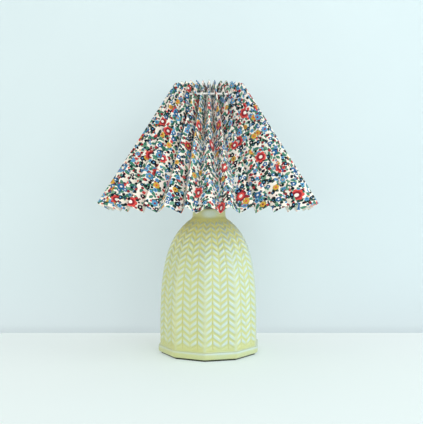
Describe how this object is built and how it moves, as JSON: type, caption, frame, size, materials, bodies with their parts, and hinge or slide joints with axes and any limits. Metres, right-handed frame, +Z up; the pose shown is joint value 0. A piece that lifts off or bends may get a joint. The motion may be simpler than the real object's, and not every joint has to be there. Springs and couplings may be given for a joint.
{
  "type": "ceramic table lamp",
  "caption": "Table lamp with a faceted glazed ceramic dome base, a lampholder on its neck and an open-topped pleated fabric shade that lifts off its wire carrier.",
  "frame": {"origin": "middle of the felt's underside, on the surface the lamp stands on", "axes": "+Z up along the lamp's axis, -Y the front, +Y the back with the cord outlet"},
  "size_m": [0.263, 0.263, 0.3204],
  "materials": {
    "yellow_glaze": "glossy translucent glaze over a pale body",
    "felt": "dark pressed felt",
    "rubber": "matt black rubber",
    "fibre": "pressed fibre",
    "zinc_steel": "zinc-plated",
    "black_metal": "satin black paint",
    "black_plastic": "moulded black phenolic",
    "porcelain": "unglazed white porcelain",
    "brass": "bright rolled brass",
    "white_wire": "white powder coat",
    "printed_cotton": "printed cotton on a stiff pale backing",
    "white_cord": "white cotton cord",
    "solder": "tinned",
    "black_glass": "black insulator",
    "nickel": "nickel-plated brass",
    "white_plastic": "moulded white",
    "opal_glass": "opal white",
    "aluminium": "plain",
    "board": "bare circuit board"
  },
  "bodies": {
    "base": {"ceramic_body": "yellow_glaze", "foot_felt": "felt", "cord_grommet": "rubber", "fibre_washer": "fibre", "steel_washer": "zinc_steel", "lock_nut": "zinc_steel", "threaded_nipple": "zinc_steel", "neck_cap": "black_metal", "holder_dome": "black_plastic", "holder_lock_screw": "zinc_steel", "holder_skirt": "black_plastic", "holder_insert": "porcelain", "holder_screw_shell": "brass", "holder_centre_contact": "brass", "holder_terminal_screws": "brass", "lower_shade_ring": "black_plastic", "upper_shade_ring": "black_plastic"},
    "carrier": {"carrier_fitter": "white_wire", "carrier_ring": "white_wire", "carrier_arms": "white_wire"},
    "shade": {"pleated_shade": "printed_cotton", "gather_cord": "white_cord"},
    "bulb_tip": {"bulb_tip_contact": "solder"},
    "bulb": {"bulb_insulator": "black_glass", "bulb_cap": "nickel", "bulb_housing": "white_plastic", "bulb_globe": "opal_glass", "bulb_lamp_plate": "aluminium", "bulb_driver_board": "board"}
  },
  "joints": [
    {"name": "carrier_swivel", "type": "hinge", "parent": "base", "child": "carrier", "pos_m": [0, 0, 0.2048], "axis": [0, 0, 1], "continuous": true},
    {"name": "shade_lift", "type": "slide", "parent": "carrier", "child": "shade", "axis": [0, 0, 1], "range_m": [0, 0.15]},
    {"name": "bulb_lift", "type": "slide", "parent": "base", "child": "bulb_tip", "axis": [0, 0, 1], "range_m": [0, 0.01819]},
    {"name": "bulb_turn", "type": "hinge", "parent": "bulb_tip", "child": "bulb", "pos_m": [0, 0, 0.21], "axis": [0, 0, 1], "range_deg": [0, 1800]}
  ],
  "couplings": [
    {"joint": "bulb_lift", "follows": "bulb_turn", "m_per_rad": 0.0005775}
  ]
}
